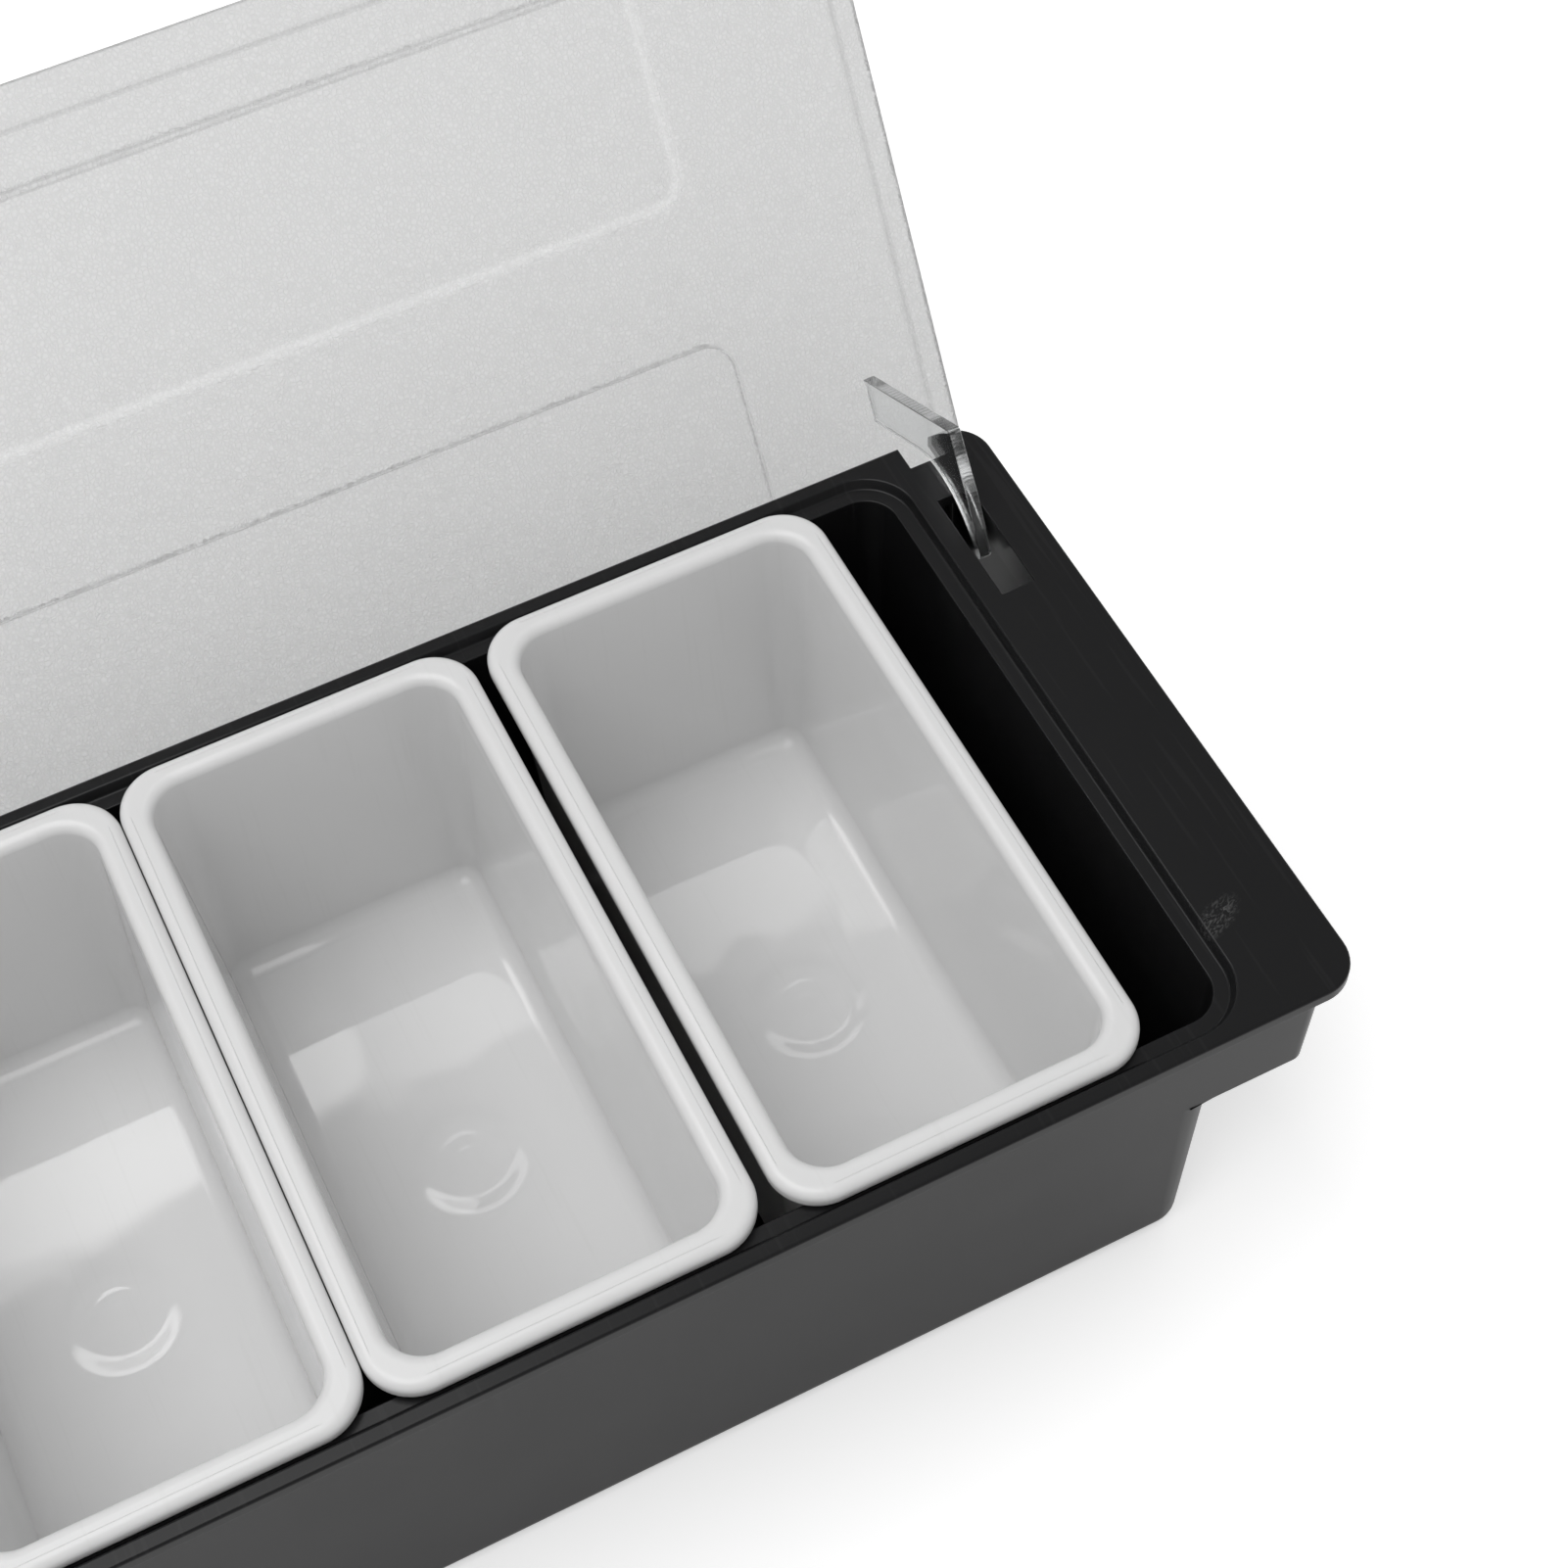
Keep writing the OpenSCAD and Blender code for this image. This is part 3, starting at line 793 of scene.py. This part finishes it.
# ---- The lid sheet --------------------------------------------------------------------------------
# A clear sheet with a fine grained, frosted face. Two long panels are pressed into it, and a crease
# runs along its free edge. It is shaped closed, and then turned back about the hinge line.

lid_hinge = next(joint for joint in frame["joints"] if joint["name"] == "lid_hinge")
hinge_point = Vector(lid_hinge["pos_m"])
lid_open = math.radians(120)
lid_slide = 0.8 * mm
lid_gap = 4.0 * mm
lid_thickness = 2.6 * mm
lid_overhang = 4.4 * mm
lid_half = Vector((tub_high.x + lid_overhang, tub_high.y + lid_overhang))
lid_corner = 10.0 * mm
lid_edge = 0.35 * mm
edge_steps = 4
corner_steps = 12
panel_end_inset = 44.0 * mm
panel_half_length = lid_half.x - panel_end_inset
panel_corner = 7.0 * mm
panel_rise = 0.7 * mm
panel_margin = 17.9 * mm
front_panel_end = 66.2 * mm
rear_panel_depth = 45.5 * mm
# Each panel's near and far side, as distances from the free edge
front_panel = (panel_margin, front_panel_end)
rear_panel = (2 * lid_half.y - panel_margin - rear_panel_depth, 2 * lid_half.y - panel_margin)
# Each panel's border, as (inset from its outline, share of the rise)
soft_border = [(0.0, 0.0), (0.3, 0.25), (0.6, 0.5), (1.3, 0.5), (1.6, 0.75), (1.9, 1.0)]
crisp_border = [(0.0, 0.0), (0.12, 0.15), (0.32, 0.82), (0.5, 1.0)]
# The crease along the lid's edge: its distance from the free edge and from the other edges, width and depth
crease_from_free_edge = 7.4 * mm
crease_from_edge = 4.4 * mm
crease_width = 1.1 * mm
crease_depth = 0.16 * mm
# The crease's section, as (share of its width, share of its depth)
crease_section = [(0.0, 0.0), (0.25, 0.75), (0.5, 1.0), (0.75, 0.75), (1.0, 0.0)]
# The pressed lines and the crease carry painted light and shade: a darker sheet (painted shade) on the side
# of the free edge and in the crease, and a lighter, glossier sheet (painted highlight) on the other sides
border_width = 2.0 * mm
painted_shade_line = 1
painted_highlight_line = 2


def opened(piece):
    """Turns a lid part from the closed lid's place to where the lid stands."""
    swing = (Matrix.Translation(hinge_point + Vector((lid_slide, 0, 0)))
             @ Matrix.Rotation(-lid_open, 4, "X")
             @ Matrix.Translation(-hinge_point))
    piece.data.transform(swing)
    return piece


def rounded_loop(shape, low, high, corner, z):
    """A ring of vertices round a level rectangle with round corners."""
    ring = []
    centres = ((high.x - corner, high.y - corner), (low.x + corner, high.y - corner),
               (low.x + corner, low.y + corner), (high.x - corner, low.y + corner))
    for turn_number, (x, y) in enumerate(centres):
        for step_number in range(corner_steps + 1):
            angle = math.pi / 2 * (turn_number + step_number / corner_steps)
            ring.append(shape.verts.new((x + corner * math.cos(angle), y + corner * math.sin(angle), z)))
    return ring


def bridge(shape, first, second):
    """A band of faces between two rings of the same length."""
    faces = []
    for place in range(len(first)):
        following = (place + 1) % len(first)
        faces.append(shape.faces.new((first[place], first[following], second[following], second[place])))
    return faces


def ring_edges(shape, ring):
    """The edges that close a ring."""
    pairs = [(ring[place - 1], ring[place]) for place in range(len(ring))]
    return [shape.edges.get(pair) or shape.edges.new(pair) for pair in pairs]


def lid_face(shape, edge_ring, z, up):
    """One face of the sheet inside its edge ring, with its crease and both pressed panels."""
    crease_rings = [edge_ring]
    for part, depth in crease_section:
        side_inset = crease_from_edge + part * crease_width
        low = Vector((side_inset - lid_half.x, crease_from_free_edge + part * crease_width - lid_half.y))
        high = Vector((lid_half.x - side_inset, lid_half.y - side_inset))
        level = z - depth * crease_depth * up
        crease_rings.append(rounded_loop(shape, low, high, lid_corner - side_inset, level))
    bridge(shape, crease_rings[0], crease_rings[1])
    for outer, inner in zip(crease_rings[1:], crease_rings[2:]):
        # The crease's faces get the darker sheet: painted shade in the crease.
        for face in bridge(shape, outer, inner):
            face.material_index = painted_shade_line
    boundary = ring_edges(shape, crease_rings[-1])
    for (near, far), border in ((front_panel, soft_border), (rear_panel, crisp_border)):
        rings = []
        for inset, share in border:
            inset *= mm
            low = Vector((-panel_half_length + inset, -lid_half.y + near + inset))
            high = Vector((panel_half_length - inset, -lid_half.y + far - inset))
            rings.append(rounded_loop(shape, low, high, panel_corner - inset, z + share * panel_rise))
        for place in range(len(rings) - 1):
            faces = bridge(shape, rings[place], rings[place + 1])
            # Slopes facing the free edge get the darker sheet (painted shade), the other slopes the lighter
            # sheet (painted highlight).
            if border[place + 1][1] > border[place][1]:
                for face in faces:
                    from_free_edge = face.calc_center_median().y + lid_half.y
                    face.material_index = painted_shade_line if from_free_edge < near + border_width else painted_highlight_line
        shape.faces.new(rings[-1])
        boundary += ring_edges(shape, rings[0])
    bmesh.ops.triangle_fill(shape, use_beauty=True, use_dissolve=False, edges=boundary, normal=(0, 0, up))


def lid_sheet():
    """The lid's mesh: a band of rings for its rounded edge, closed by its two faces."""
    shape = bmesh.new()
    bottom = tub_high.z + lid_gap
    edge_rings = []
    for step_number in range(2 * edge_steps + 2):
        upper = step_number > edge_steps
        angle = math.pi / 2 * ((step_number - upper) / edge_steps) - math.pi / 2
        inset = lid_edge * (1 - math.cos(angle))
        middle = bottom + (lid_thickness - lid_edge if upper else lid_edge)
        low = Vector((-lid_half.x + inset, -lid_half.y + inset))
        high = Vector((lid_half.x - inset, lid_half.y - inset))
        level = middle + lid_edge * math.sin(angle)
        edge_rings.append(rounded_loop(shape, low, high, lid_corner - inset, level))
    for lower, higher in zip(edge_rings, edge_rings[1:]):
        bridge(shape, lower, higher)
    lid_face(shape, edge_rings[0], bottom, -1)
    lid_face(shape, edge_rings[-1], bottom + lid_thickness, 1)
    bmesh.ops.recalc_face_normals(shape, faces=shape.faces)
    mesh = bpy.data.meshes.new("clear_lid")
    shape.to_mesh(mesh)
    shape.free()
    piece = bpy.data.objects.new("clear_lid", mesh)
    bpy.context.scene.collection.objects.link(piece)
    return piece


def frosted_sheet(name, pore_colour, skin_colour, roughness):
    """Clear plastic with a fine leather grain that frosts it."""
    material, tree, shader = new_material(name, IOR=1.45, Transmission_Weight=0.95)
    place = node_in(tree, "ShaderNodeTexCoord", (-1400, 0))
    warp = node_in(tree, "ShaderNodeTexNoise", (-1200, -200))
    warp.inputs["Scale"].default_value = 300.0
    bent = node_in(tree, "ShaderNodeMix", (-1000, 0), data_type="VECTOR", in_0=0.0012)
    cells = node_in(tree, "ShaderNodeTexVoronoi", (-800, 0), feature="DISTANCE_TO_EDGE")
    cells.inputs["Scale"].default_value = 1100.0
    pores = node_in(tree, "ShaderNodeMapRange", (-600, 0), in_1=0.0, in_2=0.28)
    skin = add_group(tree, moulded_skin, (-800, -400), Roughness=roughness, Patchiness=0.08,
                     Wave_Size=40 * mm)
    link_all(tree,
             (place.outputs["Object"], warp.inputs["Vector"]),
             (place.outputs["Object"], bent.inputs[4]),
             (warp.outputs["Color"], bent.inputs[5]),
             (bent.outputs[1], cells.inputs["Vector"]),
             (cells.outputs["Distance"], pores.inputs[0]),
             (skin.outputs["Roughness"], shader.inputs["Roughness"]))
    colour = node_in(tree, "ShaderNodeMix", (-300, 300), data_type="RGBA")
    colour.inputs[6].default_value = (pore_colour, pore_colour, pore_colour, 1)
    colour.inputs[7].default_value = (skin_colour, skin_colour, skin_colour, 1)
    link_all(tree, (pores.outputs[0], colour.inputs[0]), (colour.outputs[2], shader.inputs["Base Color"]))
    add_bump(tree, shader, pores.outputs[0], 0.8, 0.12 * mm)
    return material


lid = opened(lid_sheet())
# The plain sheet, then a darker copy for painted shade and a lighter, glossier copy for painted highlight
# on the pressed lines and the crease.
lid.data.materials.append(frosted_sheet("frosted_clear_sheet", 0.595, 0.685, 0.42))
lid.data.materials.append(frosted_sheet("frosted_painted_shade_line", 0.51, 0.59, 0.42))
lid.data.materials.append(frosted_sheet("frosted_painted_highlight_line", 0.655, 0.735, 0.30))
finish_piece(keep_flats_flat(lid), lid.data.materials[0], "lid", "lid_panel")


# ---- The hooks ------------------------------------------------------------------------------------
# Two plates sawn from clear cast sheet and bonded to the lid's underside. Their flat faces are
# polished, and their edges keep the fine lines of the saw.

hook_edge_radius = 0.18 * mm


def clear_cast(name, roughness, saw_lines):
    """Clear cast plastic. A sawn edge has fine lines across it."""
    material, tree, shader = new_material(name, IOR=1.49, Transmission_Weight=1.0,
                                          Base_Color=(0.93, 0.945, 0.945, 1))
    skin = add_group(tree, moulded_skin, (-800, -200), Roughness=roughness, Patchiness=0.04,
                     Wave_Size=8 * mm, Wave_Share=0.6)
    tree.links.new(skin.outputs["Roughness"], shader.inputs["Roughness"])
    height_out = skin.outputs["Height"]
    if saw_lines:
        place = node_in(tree, "ShaderNodeTexCoord", (-1200, -500))
        lines = node_in(tree, "ShaderNodeTexWave", (-900, -500), bands_direction="Z")
        lines.inputs["Scale"].default_value = 420.0
        lines.inputs["Distortion"].default_value = 3.0
        mixed = node_in(tree, "ShaderNodeMath", (-500, -400), operation="ADD")
        link_all(tree, (place.outputs["Object"], lines.inputs["Vector"]),
                 (lines.outputs["Fac"], mixed.inputs[0]), (height_out, mixed.inputs[1]))
        height_out = mixed.outputs[0]
    add_bump(tree, shader, height_out, 0.3, (0.08 if saw_lines else 0.004) * mm)
    return material


hook_face = clear_cast("clear_cast_face", 0.04, False)
hook_sawn = clear_cast("clear_cast_sawn_edge", 0.22, True)
for side in ("left", "right"):
    plate = round_edges(plain_copy(f"hook_plate_{side}", f"hook_{side}"), hook_edge_radius, 2)
    plate.data.materials.append(hook_face)
    plate.data.materials.append(hook_sawn)
    for face in plate.data.polygons:
        face.material_index = 0 if abs(face.normal.x) > 0.7 else 1
    finish_piece(plate, hook_face, "lid", f"hook_{side}")
